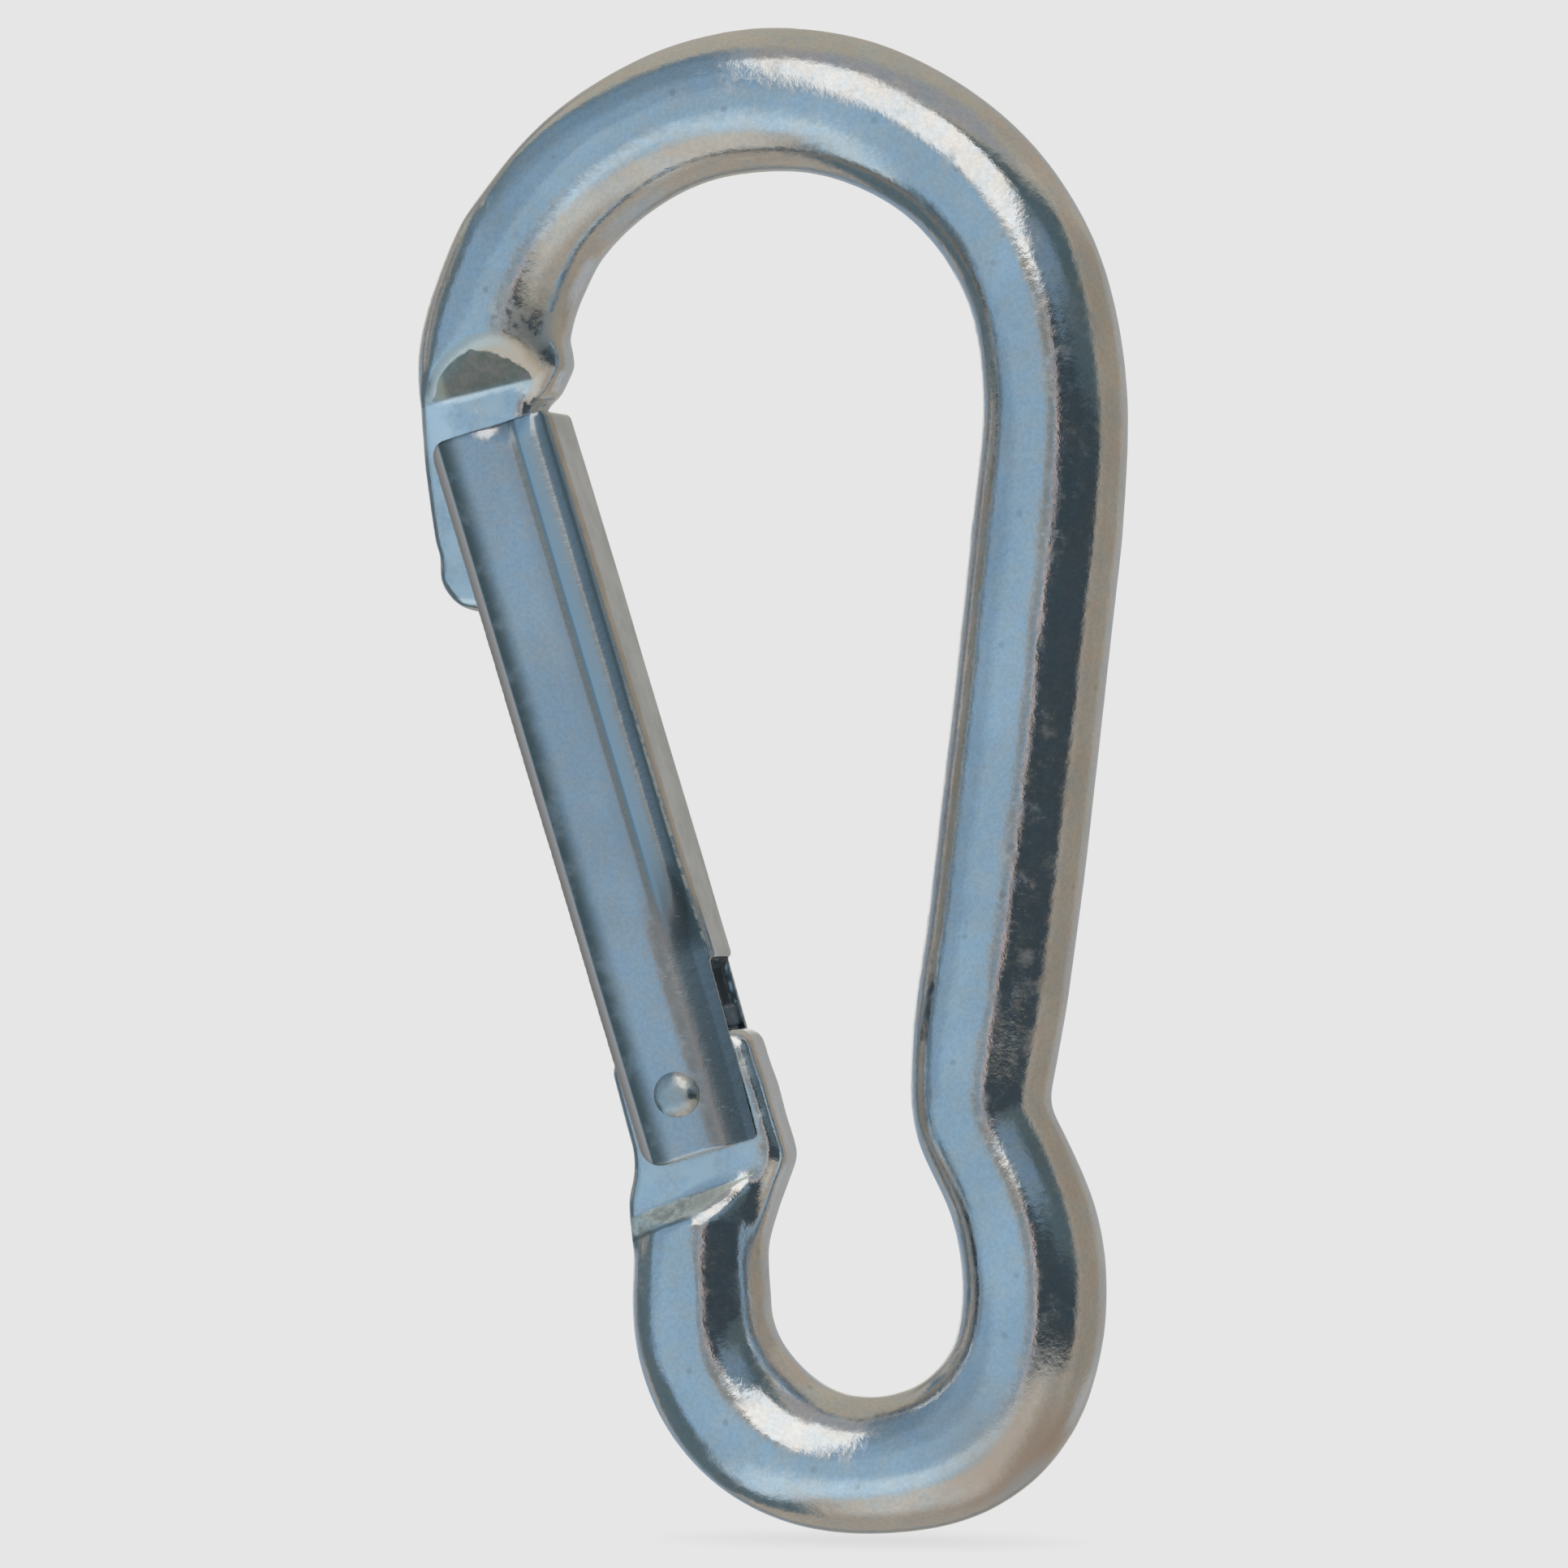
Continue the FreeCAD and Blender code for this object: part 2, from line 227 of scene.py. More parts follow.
# Soft panels of the room, seen from the object: centre right of / above the camera in degrees,
# half sizes, turn, softness of the edge in degrees, colour, amount.
PANELS = [
    # warm walls at the right, the nearer one browner
    ((106, 0), (26, 64), 0, 20, (141, 133, 121), 1.0),
    ((148, 10), (20, 60), 0, 16, (150, 148, 143), 1.0),
    # browner corners high and low at the right, a bluish patch below
    ((88, 88), (26, 22), -40, 16, (156, 144, 131), 0.8),
    ((88, -76), (24, 20), -40, 18, (148, 137, 124), 0.8),
    ((74, -106), (20, 22), -30, 18, (147, 156, 161), 0.7),
    # greyer low at the far right
    ((122, -60), (24, 16), 0, 14, (160, 161, 162), 0.9),
    # pale cream floor below
    ((6, -57), (31, 36), 0, 24, (183, 180, 173), 1.0),
    # grey strip with thin pale lines far at the left
    ((-134, 4), (18, 52), 0, 12, (106, 111, 114), 1.0),
    ((-126, 6), (2.4, 50), 4, 3, (190, 180, 172), 0.6),
    ((-142, -4), (2.0, 44), -3, 3, (178, 170, 166), 0.7),
    # dark teal edge round the blue panel, below and above
    ((-84, -54), (37, 64), 20, 10, (84, 99, 105), 1.0),
    ((-68, 30), (44, 60), 0, 12, (88, 104, 112), 1.0),
    # the large pale blue panel, duller towards its top and bright along its lower edge
    ((-56, 20), (37.5, 56), -5, 8, (124, 149, 169), 1.0),
    ((-43, -26), (37, 38), 30, 14, (140, 166, 185), 1.0),
    ((-60, 68), (40, 18), 0, 26, (104, 126, 142), 0.9),
    ((-31, -49), (45, 13), 42, 18, (181, 200, 211), 0.95),
    # duller blue straight ahead
    ((-5, 5), (9, 8), 0, 9, (84, 101, 111), 0.5),
    # grey ceiling behind the lamp
    ((12, 76), (38, 16), 0, 12, (145, 146, 148), 1.0),
    # the blue panel's plain right end
    ((-3, -8), (7, 10), 0, 5, (118, 142, 160), 0.7),
    # dark doorway at the right, greener above and bluish next to the lamp
    ((43, 27), (32, 28), 0, 12, (76, 90, 95), 1.0),
    ((24, 22), (22, 9), 20, 12, (110, 130, 146), 0.9),
    ((39.5, -4.5), (34.5, 12.5), -8, 7, (56, 66, 72), 1.0),
    # its pale frame
    ((4.0, -5), (1.8, 12), -8, 2, (196, 180, 175), 0.95),
    # the lamp, a bent four-sided shade
    ((-8, 39), (13.5, 29), 7, 3, (234, 233, 230), 1.0),
    ((5, 36), (19, 14), 45, 3, (234, 233, 230), 1.0),
]

# What stands behind the object, in the same coordinates counted from straight behind.
BACK_PANELS = [
    ((0, 0), (60, 60), 0, 20, (157, 151, 141), 1.0),
    ((-26, -20), (20, 26), -14, 14, (126, 143, 158), 1.0),
    ((-6, -34), (30, 10), 8, 12, (104, 112, 116), 0.8),
    ((2, 5), (24, 6), 8, 8, (205, 203, 199), 1.0),
    ((-30, 26), (12, 12), 20, 8, (98, 108, 114), 0.8),
    ((24, 8), (16, 28), -8, 10, (148, 148, 147), 1.0),
]


def glow(colour):
    """What a panel has to give off for the metal to show this display colour."""
    return tuple(c / METAL_LEVEL for c in srgb(*colour))


def room(g, a, b, panels):
    """Colour of the room at fisheye coordinates a, b (degrees right of and above the camera)."""
    colour = g.mix(g.step(b, -WALL_REACH, WALL_REACH), glow(WALL_LOW), glow(WALL_HIGH))
    for (centre_a, centre_b), (half_a, half_b), turn, soft, rgb, amount in panels:
        cos, sin = math.cos(math.radians(turn)), math.sin(math.radians(turn))
        da = g.minus(a, centre_a)
        db = g.minus(b, centre_b)
        u = g.size(g.plus(g.times(da, cos), g.times(db, sin)))
        v = g.size(g.minus(g.times(db, cos), g.times(da, sin)))
        edge = soft / 2
        mask = g.times(g.below(u, half_a - edge, half_a + edge),
                       g.below(v, half_b - edge, half_b + edge))
        colour = g.mix(g.times(mask, amount), colour, glow(rgb))
    return colour


def make_world():
    """The room is only seen in the metal: the camera itself sees a plain pale backdrop."""
    world = bpy.data.worlds.new("room")
    bpy.context.scene.world = world
    world.use_nodes = True
    g = Graph(world.node_tree)
    ray = g.vec("NORMALIZE", g.add("ShaderNodeTexCoord").outputs["Generated"])
    x = g.vec("DOT_PRODUCT", ray, RIGHT)
    y = g.vec("DOT_PRODUCT", ray, UP)
    z = g.vec("DOT_PRODUCT", ray, BACK)
    theta = g.times(g.math("ARCCOSINE", z), 180.0 / math.pi)
    sideways = g.math("SQRT", g.plus(g.plus(g.times(x, x), g.times(y, y)), TINY))
    wander = g.split(g.noise(ray, WANDER_SCALE, 2.0)[1])

    def coordinates(angle):
        per_unit = g.math("DIVIDE", angle, sideways)
        pair = []
        for part, shift in ((x, wander[0]), (y, wander[1])):
            pair.append(g.plus(g.times(part, per_unit), g.times(g.minus(shift, 0.5), WOBBLE)))
        return pair

    front = room(g, *coordinates(theta), PANELS)
    behind = room(g, *coordinates(g.minus(180.0, theta)), BACK_PANELS)
    colour = g.mix(g.step(theta, BEHIND_FROM, BEHIND_TO), front, behind)
    colour = g.mix(g.add("ShaderNodeLightPath").outputs["Is Camera Ray"], colour, BACKDROP)
    background = g.add("ShaderNodeBackground")
    g.put(background.inputs["Color"], colour)
    out = g.add("ShaderNodeOutputWorld")
    g.put(out.inputs["Surface"], background.outputs[0])


FLOOR_HALF = 3.0                     # metres
FLOOR_GAP = 0.0004                   # between the rope eye and the floor
SHADE_REACH, SHADE = 0.006, 0.88     # the floor darkens to this share right under the hook
SHADE_SAMPLES = 8


def make_floor():
    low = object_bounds()[0][2] - FLOOR_GAP
    mesh = bpy.data.meshes.new("floor")
    corners = [(x * FLOOR_HALF, y * FLOOR_HALF, low) for x, y in ((-1, -1), (1, -1), (1, 1), (-1, 1))]
    mesh.from_pydata(corners, [], [(0, 1, 2, 3)])
    floor = new_object("floor", mesh)
    mat = bpy.data.materials.new("floor_pale")
    mat.use_nodes = True
    g = Graph(mat.node_tree)
    near = g.add("ShaderNodeAmbientOcclusion", samples=SHADE_SAMPLES)
    near.inputs["Distance"].default_value = SHADE_REACH
    shader = g.add("ShaderNodeEmission")
    g.put(shader.inputs["Color"], g.mix(near.outputs["AO"], scaled(BACKDROP, SHADE), BACKDROP))
    out = g.add("ShaderNodeOutputMaterial")
    g.put(out.inputs["Surface"], shader.outputs[0])
    dress(floor, mat)
    floor.visible_glossy = False


# ------------------------------------------------------------------ gate frame
# w runs inwards across the gate, u runs up it; the hinge axis is at w = u = 0
HINGE = next(j for j in frame["joints"] if j["name"] == "gate_hinge")
SLIDE = next(j for j in frame["joints"] if j["name"] == "plunger_slide")
PIVOT = Vector(HINGE["pos_m"])
GATE_UP = Vector(SLIDE["axis"]).normalized()
GATE_IN = Vector((GATE_UP.z, 0.0, -GATE_UP.x))


def gate_pt(w, u, y=0.0):
    """The point in metres at w, y and u millimetres."""
    return PIVOT + GATE_IN * (w * MM) + GATE_UP * (u * MM) + Vector((0, y * MM, 0))


def gate_coords(points):
    """w, |y| and u of mesh points, in millimetres."""
    rel = (points - np.array(PIVOT)) / MM
    return rel @ np.array(GATE_IN), np.abs(rel[:, 1]), rel @ np.array(GATE_UP)


# ------------------------------------------------------------------ mesh helpers
PULL, PUSH = 0.5, -0.52              # shares of the way to the neighbours' mean in a smoothing pass
SEED_STEP = (7.1, 3.3, -5.7)         # keeps the terms of a ripple from lining up
ROUND_FACE = 4                       # faces with more corners are flat caps


def new_object(name, mesh):
    obj = bpy.data.objects.new(name, mesh)
    bpy.context.scene.collection.objects.link(obj)
    return obj


def dress(obj, mat):
    obj.data.materials.clear()
    obj.data.materials.append(mat)


def read_points(mesh):
    flat = np.empty(len(mesh.vertices) * 3, np.float32)
    mesh.vertices.foreach_get("co", flat)
    return flat.reshape(-1, 3).astype(float)


def write_points(mesh, points):
    mesh.vertices.foreach_set("co", points.astype(np.float32).ravel())
    mesh.update()


def read_normals(mesh):
    flat = np.empty(len(mesh.vertices) * 3, np.float32)
    mesh.vertex_normals.foreach_get("vector", flat)
    return flat.reshape(-1, 3).astype(float)


def distances(points, centre):
    """Millimetres from each point to centre."""
    return np.linalg.norm(points - np.array(centre), axis=1) / MM


def smoothstep(x, low, high):
    t = np.clip((x - low) / (high - low), 0.0, 1.0)
    return t * t * (3 - 2 * t)


def relax(mesh, passes, keep_size=True, where=1.0):
    """Each pass pulls the points half way to their neighbours' mean, then, to keep the size, pushes
    them back a little more than that. where, from 0 to 1 a point, limits it to one place."""
    points = read_points(mesh)
    where = np.broadcast_to(where, len(points))
    pairs = np.empty(len(mesh.edges) * 2, np.int32)
    mesh.edges.foreach_get("vertices", pairs)
    a, b = pairs.reshape(-1, 2).T
    n = len(points)
    count = np.bincount(a, minlength=n) + np.bincount(b, minlength=n)
    for _ in range(passes):
        for factor in (PULL, PUSH) if keep_size else (PULL,):
            mean = np.empty_like(points)
            for k in range(3):
                total = np.bincount(a, points[b, k], n) + np.bincount(b, points[a, k], n)
                mean[:, k] = total / count
            points += (mean - points) * factor * where[:, None]
    write_points(mesh, points)


def dense_copy(name, node, voxel, soften, settle):
    """An even, dense skin of a CAD node. Its edges are rounded by soften plain smoothing passes, then
    settle passes that keep the size."""
    obj = new_object(name, frame["nodes"][node].data.copy())
    mod = obj.modifiers.new("skin", "REMESH")
    mod.mode = "VOXEL"
    mod.voxel_size = voxel * MM
    mod.adaptivity = 0.0
    mod.use_smooth_shade = True
    graph = bpy.context.evaluated_depsgraph_get()
    mesh = bpy.data.meshes.new_from_object(obj.evaluated_get(graph))
    obj.modifiers.clear()
    obj.data = mesh
    relax(mesh, soften, keep_size=False)
    relax(mesh, settle)
    return obj


def lift_skin(mesh, lift):
    """Moves each point along its normal by lift metres."""
    write_points(mesh, read_points(mesh) + read_normals(mesh) * lift[:, None])


def burr(mesh, centre, radius, height):
    """A small raised nick left on the skin, sizes in millimetres."""
    away = np.linalg.norm(read_points(mesh) - np.array(centre), axis=1) / (radius * MM)
    lift_skin(mesh, height * MM * np.exp(-away ** 2))


def ripple(mesh, terms, seed, where=1.0):
    """Moves the skin along its normals by smooth noise: (wavelength, height) in millimetres."""
    points = read_points(mesh)
    lift = np.zeros(len(points))
    for i, (wave, height) in enumerate(terms):
        shift = Vector((seed + SEED_STEP[0] * i, SEED_STEP[1] * i, SEED_STEP[2] * i))
        scale = 1.0 / (wave * MM)
        lift += height * MM * np.array([noise.noise(Vector(p) * scale + shift) for p in points])
    lift_skin(mesh, lift * where)


def keep_inside(mesh, node):
    """No point leaves the CAD node's own box."""
    low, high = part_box(node)
    write_points(mesh, np.clip(read_points(mesh), np.array(low), np.array(high)))


def ring(bm, centre, side, across, radius, sides):
    """New vertices in a circle round centre, radius in millimetres."""
    verts = []
    for i in range(sides):
        t = 2 * math.pi * i / sides
        out = side * math.cos(t) + across * math.sin(t)
        verts.append(bm.verts.new(centre + out * radius * MM))
    return verts


def join_rings(name, bm, rings, sides):
    """The object made by joining rings of vertices in turn; a ring may also be a single vertex."""
    for low, high in zip(rings, rings[1:]):
        for i in range(sides):
            j = (i + 1) % sides
            corners = [low[i % len(low)], low[j % len(low)], high[j % len(high)], high[i % len(high)]]
            bm.faces.new(list(dict.fromkeys(corners)))
    for end in (rings[0], rings[-1]):
        if len(end) > 1:
            bm.faces.new(end)
    bmesh.ops.recalc_face_normals(bm, faces=bm.faces)
    mesh = bpy.data.meshes.new(name)
    bm.to_mesh(mesh)
    bm.free()
    for face in mesh.polygons:
        face.use_smooth = len(face.vertices) <= ROUND_FACE
    return new_object(name, mesh)


def lathe(name, profile, origin, axis, sides=96):
    """Turned piece from (radius, height) in millimetres along an axis."""
    axis = Vector(axis).normalized()
    side = axis.orthogonal().normalized()
    across = axis.cross(side)
    bm = bmesh.new()
    rings = []
    for radius, height in profile:
        centre = origin + axis * (height * MM)
        if radius == 0.0:
            rings.append([bm.verts.new(centre)])
        else:
            rings.append(ring(bm, centre, side, across, radius, sides))
    return join_rings(name, bm, rings, sides)


def tube(name, path, radius, sides=14):
    """Round wire of the given radius (millimetres) along a list of points, closed at both ends."""
    bm = bmesh.new()
    rings = []
    normal = None
    for i, point in enumerate(path):
        ahead = (path[min(i + 1, len(path) - 1)] - path[max(i - 1, 0)]).normalized()
        normal = ahead.orthogonal() if normal is None else normal - ahead * normal.dot(ahead)
        normal.normalize()
        rings.append(ring(bm, point, normal, ahead.cross(normal), radius, sides))
    return join_rings(name, bm, rings, sides)


# ------------------------------------------------------------------ plated metal
# noise scales, in waves a metre: the larger the finer
MOTTLE, CLOUD, PATCH, FINE, GRAIN, PEEL = 140.0, 620.0, 420.0, 1300.0, 3400.0, 1700.0
PIT_CELLS = 620.0
COOL, WARM = (0.96, 1.01, 1.05), (1.05, 1.01, 0.97)    # tints of the cloudy plating
GRAIN_DARK, GRAIN_PALE = (0.94, 0.94, 0.94), (1.06, 1.06, 1.06)
DULL_BASE, MARK_BASE = 0.90, 0.45    # shares of the base colour in dull mottles and in dark marks
MARK_AMOUNT = 0.35
SMOOTH_SPOT, ROUGH_SPOT = 0.6, 1.5   # shares of the roughness in the finest spots
SMOOTH_MOTTLE, ROUGH_MOTTLE = 0.85, 1.25
PATCHY_ROUGH = 2.0                   # how much rougher the dull patches are
SCRATCHES = (                        # turn in radians, waves a metre along and across
    ((0.3, 1.2, 0.5), (110.0, 5200.0, 5200.0)),
    ((1.1, 0.6, 2.0), (150.0, 4800.0, 4800.0)),
)
SCRATCH_ROUGH = 0.12
PIT_DEPTH = 0.28                     # next to the orange peel's 1
PEEL_HEIGHT = 0.000042               # metres


class Zinc:
    """Plated metal: base, mottling, orange peel, pits and fine scratches; paint() changes it locally."""

    def __init__(self, name, base, rough, peel=1.0):
        self.mat = bpy.data.materials.new(name)
        self.mat.use_nodes = True
        g = self.g = Graph(self.mat.node_tree)
        self.peel = peel
        self.pos = g.add("ShaderNodeTexCoord").outputs["Object"]
        mottle = self.noise(MOTTLE, rough=0.55)
        self.colour = g.mix(g.step(mottle, 0.38, 0.66), scaled(base, DULL_BASE), base)
        # cloudy plating, bluer and warmer by turns, and its grain
        self.tint(g.mix(self.blotches(CLOUD, 0.36, 0.64), COOL, WARM))
        self.tint(g.mix(self.blotches(GRAIN, 0.30, 0.70, detail=2.0, rough=0.7), GRAIN_DARK, GRAIN_PALE))
        self.rough = g.times(g.step(mottle, 0.3, 0.7, ROUGH_MOTTLE, SMOOTH_MOTTLE),
                             self.blotches(FINE, 0.36, 0.64, rough * SMOOTH_SPOT, rough * ROUGH_SPOT))
        # the polish is patchy
        self.rough = g.times(self.rough, self.blotches(PATCH, 0.48, 0.68, 1.0, PATCHY_ROUGH))
        # pits in the plating, and a few dark marks
        cell = g.add("ShaderNodeTexVoronoi", feature="F1")
        g.put(cell.inputs["Vector"], self.pos)
        cell.inputs["Scale"].default_value = PIT_CELLS
        away = cell.outputs["Distance"]
        pick = g.add("ShaderNodeSeparateColor")
        g.put(pick.inputs[0], cell.outputs["Color"])
        self.pits = g.times(g.below(away, 0.08, 0.30), g.step(pick.outputs[0], 0.55, 0.75))
        marks = g.times(g.below(away, 0.08, 0.20), g.step(pick.outputs[1], 0.90, 0.92))
        self.colour = g.mix(g.times(marks, MARK_AMOUNT), self.colour, scaled(base, MARK_BASE))
        lines = []
        for turn, stretch in SCRATCHES:
            place = g.add("ShaderNodeMapping")
            g.put(place.inputs["Vector"], self.pos)
            place.inputs["Rotation"].default_value = turn
            place.inputs["Scale"].default_value = stretch
            lines.append(g.step(g.noise(place.outputs[0], 1.0, 1.0, 0.4)[0], 0.72, 0.76))
        self.scratch = g.math("MAXIMUM", *lines)

    def noise(self, scale, detail=3.0, rough=0.6):
        return self.g.noise(self.pos, scale, detail, rough)[0]

    def blotches(self, scale, low, high, to_low=0.0, to_high=1.0, detail=3.0, rough=0.6):
        """to_low where the noise is under low, to_high where it is over high."""
        return self.g.step(self.noise(scale, detail, rough), low, high, to_low, to_high)

    def gate_axes(self):
        """w, |y| and u of the shaded point, in millimetres."""
        g = self.g
        rel = g.vec("MULTIPLY", g.vec("SUBTRACT", self.pos, PIVOT), TO_MM)
        w = g.vec("DOT_PRODUCT", rel, GATE_IN)
        u = g.vec("DOT_PRODUCT", rel, GATE_UP)
        return w, g.size(g.split(rel)[1]), u

    def tint(self, colour):
        self.colour = self.g.mix(1.0, self.colour, colour, "MULTIPLY")

    def paint(self, mask, colour, rough, amount=1.0):
        """Where mask is 1 the metal takes this colour and roughness, by amount."""
        g = self.g
        if amount != 1.0:
            mask = g.times(mask, amount)
        self.colour = g.mix(mask, self.colour, colour)
        self.rough = g.plus(g.times(self.rough, g.minus(1.0, mask)), g.times(mask, rough))

    def finish(self):
        g = self.g
        shader = g.add("ShaderNodeBsdfPrincipled")
        g.put(shader.inputs["Base Color"], self.colour)
        shader.inputs["Metallic"].default_value = 1.0
        g.put(shader.inputs["Roughness"], g.plus(self.rough, g.times(self.scratch, SCRATCH_ROUGH)))
        bump = g.add("ShaderNodeBump")
        bump.inputs["Strength"].default_value = 1.0
        bump.inputs["Distance"].default_value = PEEL_HEIGHT * self.peel
        g.put(bump.inputs["Height"], g.minus(self.noise(PEEL, 4.0, 0.62), g.times(self.pits, PIT_DEPTH)))
        g.put(shader.inputs["Normal"], bump.outputs[0])
        out = g.add("ShaderNodeOutputMaterial")
        g.put(out.inputs["Surface"], shader.outputs[0])
        return self.mat


# ------------------------------------------------------------------ the rod
# places in millimetres, in the part's own frame
ROD_R = 5.0
NOSE_FLAT = 2.7                      # half thickness of the flattened ends
# the nose's sheared slope leaves the flattened end along a line and rises to the round rod
NOSE_EDGE = (-29.7, 0.0, 59.3)
NOSE_UP = Vector((-1.86, 0.0, 8.35)).normalized()
NOSE_SLOPE = 2.3 / 3.2
NOSE_AXIS = (-25.61, 0.0, 58.2)      # middle of the rod there, and the way across it
NOSE_SIDE = Vector((0.994, 0.0, 0.111))
NOSE_HALF = 4.9                      # half the rod's width there
NOSE_INNER = (-19.5, -19.0)          # x where the nose ends on the inner side
NOSE_SCUFF = (-21.7, -4.0, 64.2)
# the same at the foot, just above the rope eye, where the slope falls to the round rod
FOOT_EDGE = (-15.2, 0.0, 5.45)
FOOT_DOWN = Vector((2.75, 0.0, -7.4)).normalized()
FOOT_SLOPE = 2.3 / 1.4
EYE_STAIN = (10.3, -3.5, -10.2)
RAGGED = 0.7                         # how far ragged outlines wander, millimetres

ROD_BASE = (0.74, 0.75, 0.76)
RIM_CREAM = (0.76, 0.71, 0.63)
SHEARED = (0.17, 0.215, 0.205), (0.25, 0.26, 0.265)
SHEARED_WORN = (0.46, 0.45, 0.38)
SCUFFED = (0.80, 0.81, 0.78)
SCOURED = (0.88, 0.85, 0.76), (1.0, 0.96, 0.86)
FOOT_WORN = (0.66, 0.65, 0.58), (1.0, 0.97, 0.86)
# painted shade line under the foot's worn band
FOOT_CREASE_SHADE = (0.22, 0.25, 0.24)
STAIN_BROWN = (0.60, 0.51, 0.45)
FRESH_PLATING = (0.80, 0.81, 0.80)
# painted highlight on the outer end of the nose's flat
FLAT_HIGHLIGHT = (1.0, 1.0, 1.0)


def rod_material():
    """Plated rod: sheared slopes at the nose and foot, a scuff, worn and stained places, flats, a
    painted highlight on the nose's flat and a painted shade line under the foot's worn band.
    """
    z = Zinc("rod_zinc", ROD_BASE, rough=0.09, peel=0.5)
    g = z.g
    place = g.vec("MULTIPLY", z.pos, TO_MM)
    x, y, _ = g.split(place)
    thick = g.size(y)
    ragged = g.times(g.minus(z.noise(900.0), 0.5), RAGGED)
    speck = z.blotches(1500.0, 0.35, 0.65, rough=0.7)

    # the nose's slope: rise runs up it, proud is the height above it, depth is that under the round rod
    rise = g.along(place, NOSE_EDGE, NOSE_UP)
    proud = g.minus(thick, g.plus(g.times(rise, NOSE_SLOPE), NOSE_FLAT))
    outer_side = g.below(x, *NOSE_INNER)
    on_nose = g.all_of(outer_side, g.step(rise, 0.05, 0.3), g.below(rise, 5.0, 6.0))
    across = g.math("DIVIDE", g.along(place, NOSE_AXIS, NOSE_SIDE), NOSE_HALF)
    bulge = g.math("SQRT", g.math("MAXIMUM", g.minus(1.0, g.times(across, across)), 0.0))
    depth = g.plus(g.minus(g.times(bulge, ROD_R), thick), ragged)
    # its rounded rim is warmer, its middle darker and rougher, with a pale worn patch at the outer end
    rim = g.all_of(on_nose, g.band(proud, -0.42, 0.3, soft=0.12), g.below(depth, 0.9, 1.3))
    z.paint(rim, RIM_CREAM, rough=0.32, amount=0.9)
    sheared = g.all_of(on_nose, g.band(proud, -0.07, 0.2, soft=0.06), g.step(depth, 0.32, 0.45))
    z.paint(sheared, g.mix(speck, *SHEARED), rough=0.32, amount=0.97)
    z.paint(g.times(sheared, g.below(across, -0.50, -0.40)), SHEARED_WORN, rough=0.34, amount=0.85)
    # the rod's skin is scuffed behind the slope
    scuff = g.plus(g.distance(place, NOSE_SCUFF), g.times(ragged, 5.0))
    skin = g.below(proud, -0.62, -0.45)
    scuffed = g.all_of(g.below(scuff, 2.2, 4.0), skin, z.blotches(650.0, 0.40, 0.54, to_low=0.15))
    z.paint(scuffed, SCUFFED, rough=0.38, amount=0.85)

    # the foot's slope is scoured to a pale matt
    fall = g.along(place, FOOT_EDGE, FOOT_DOWN)
    proud = g.minus(thick, g.plus(g.times(fall, FOOT_SLOPE), NOSE_FLAT))
    scoured = g.all_of(g.band(proud, -0.1, 0.3, soft=0.08), g.step(fall, -0.05, 0.12),
                       g.below(fall, 2.0, 2.4), g.below(x, -7.4, -7.0))
    z.paint(scoured, g.mix(speck, *SCOURED), rough=0.75, amount=0.95)
    # its outer end runs on as a worn band over the round rod, with a dark line of painted shade under it
    # in place of a crease
    outer_end = g.times(g.step(thick, 1.4, 2.0), g.below(x, -11.6, -10.4))
    edge = g.plus(fall, g.times(ragged, 0.5))
    wear_and_highlight = g.times(outer_end, g.band(edge, 0.05, 1.0, soft=0.3))
    z.paint(wear_and_highlight, g.mix(speck, *FOOT_WORN), rough=0.75, amount=0.85)
    crease_shade = g.times(outer_end, g.band(edge, 1.3, 1.35, soft=0.2))
    z.paint(crease_shade, FOOT_CREASE_SHADE, rough=0.4, amount=0.7)
    # a brownish stain low on the rope eye
    stain = g.plus(g.distance(place, EYE_STAIN), g.times(ragged, 4.0))
    z.paint(g.below(stain, 2.0, 7.0), STAIN_BROWN, rough=0.18, amount=0.75)

    # the hammered flats of both ends are patched with paler plating
    flat = g.all_of(g.below(thick, 2.78, 2.86), g.step(thick, 2.4, 2.6), g.below(x, -7.2, -7.0))
    z.paint(g.times(flat, z.blotches(PATCH, 0.46, 0.62)), FRESH_PLATING, rough=0.2, amount=0.8)
    # painted highlight: the outer end of the nose's flat is painted white just under the slope
    flat_highlight = g.all_of(g.below(g.plus(across, ragged), -0.62, -0.20), g.step(rise, -3.8, -2.4),
                         g.below(rise, 0.0, 0.1), outer_side)
    z.paint(flat_highlight, FLAT_HIGHLIGHT, rough=0.3, amount=0.85)
    return z.finish()


ROD_VOXEL = 0.235
# where the rod is rounded over, first at the kink above the rope eye, then at corners of the flattened
# ends: centre in metres with |y|, so that both faces are alike, millimetres round it with the full
# effect and with any, smoothing passes
ROUNDED = (
    (Vector((0.0100, 0.0, 0.0125)), 4.5, 9.0, 80),
    (Vector((-7.3, 3.0, 6.3)) * MM, 2.5, 5.0, 40),
    (Vector((-20.6, 2.5, 60.6)) * MM, 1.8, 3.6, 40),
    (Vector((-25.6, 2.8, 60.2)) * MM, 4.0, 6.0, 14),
)
ROD_WAVES = ((9.0, 0.09), (4.0, 0.025))
# hammer marks at the flattened ends: centre in metres, reach in millimetres
WORKED_ENDS = ((Vector((-0.0270, 0.0, 0.0560)), 9.0), (gate_pt(2.0, -6.0), 11.0))
WORKED_FULL = 0.6                    # share of the reach with full marks
HAMMER_WAVES = ((2.8, 0.075), (1.4, 0.016))
BURR = (-0.0250, -0.0032, 0.0728)    # metres


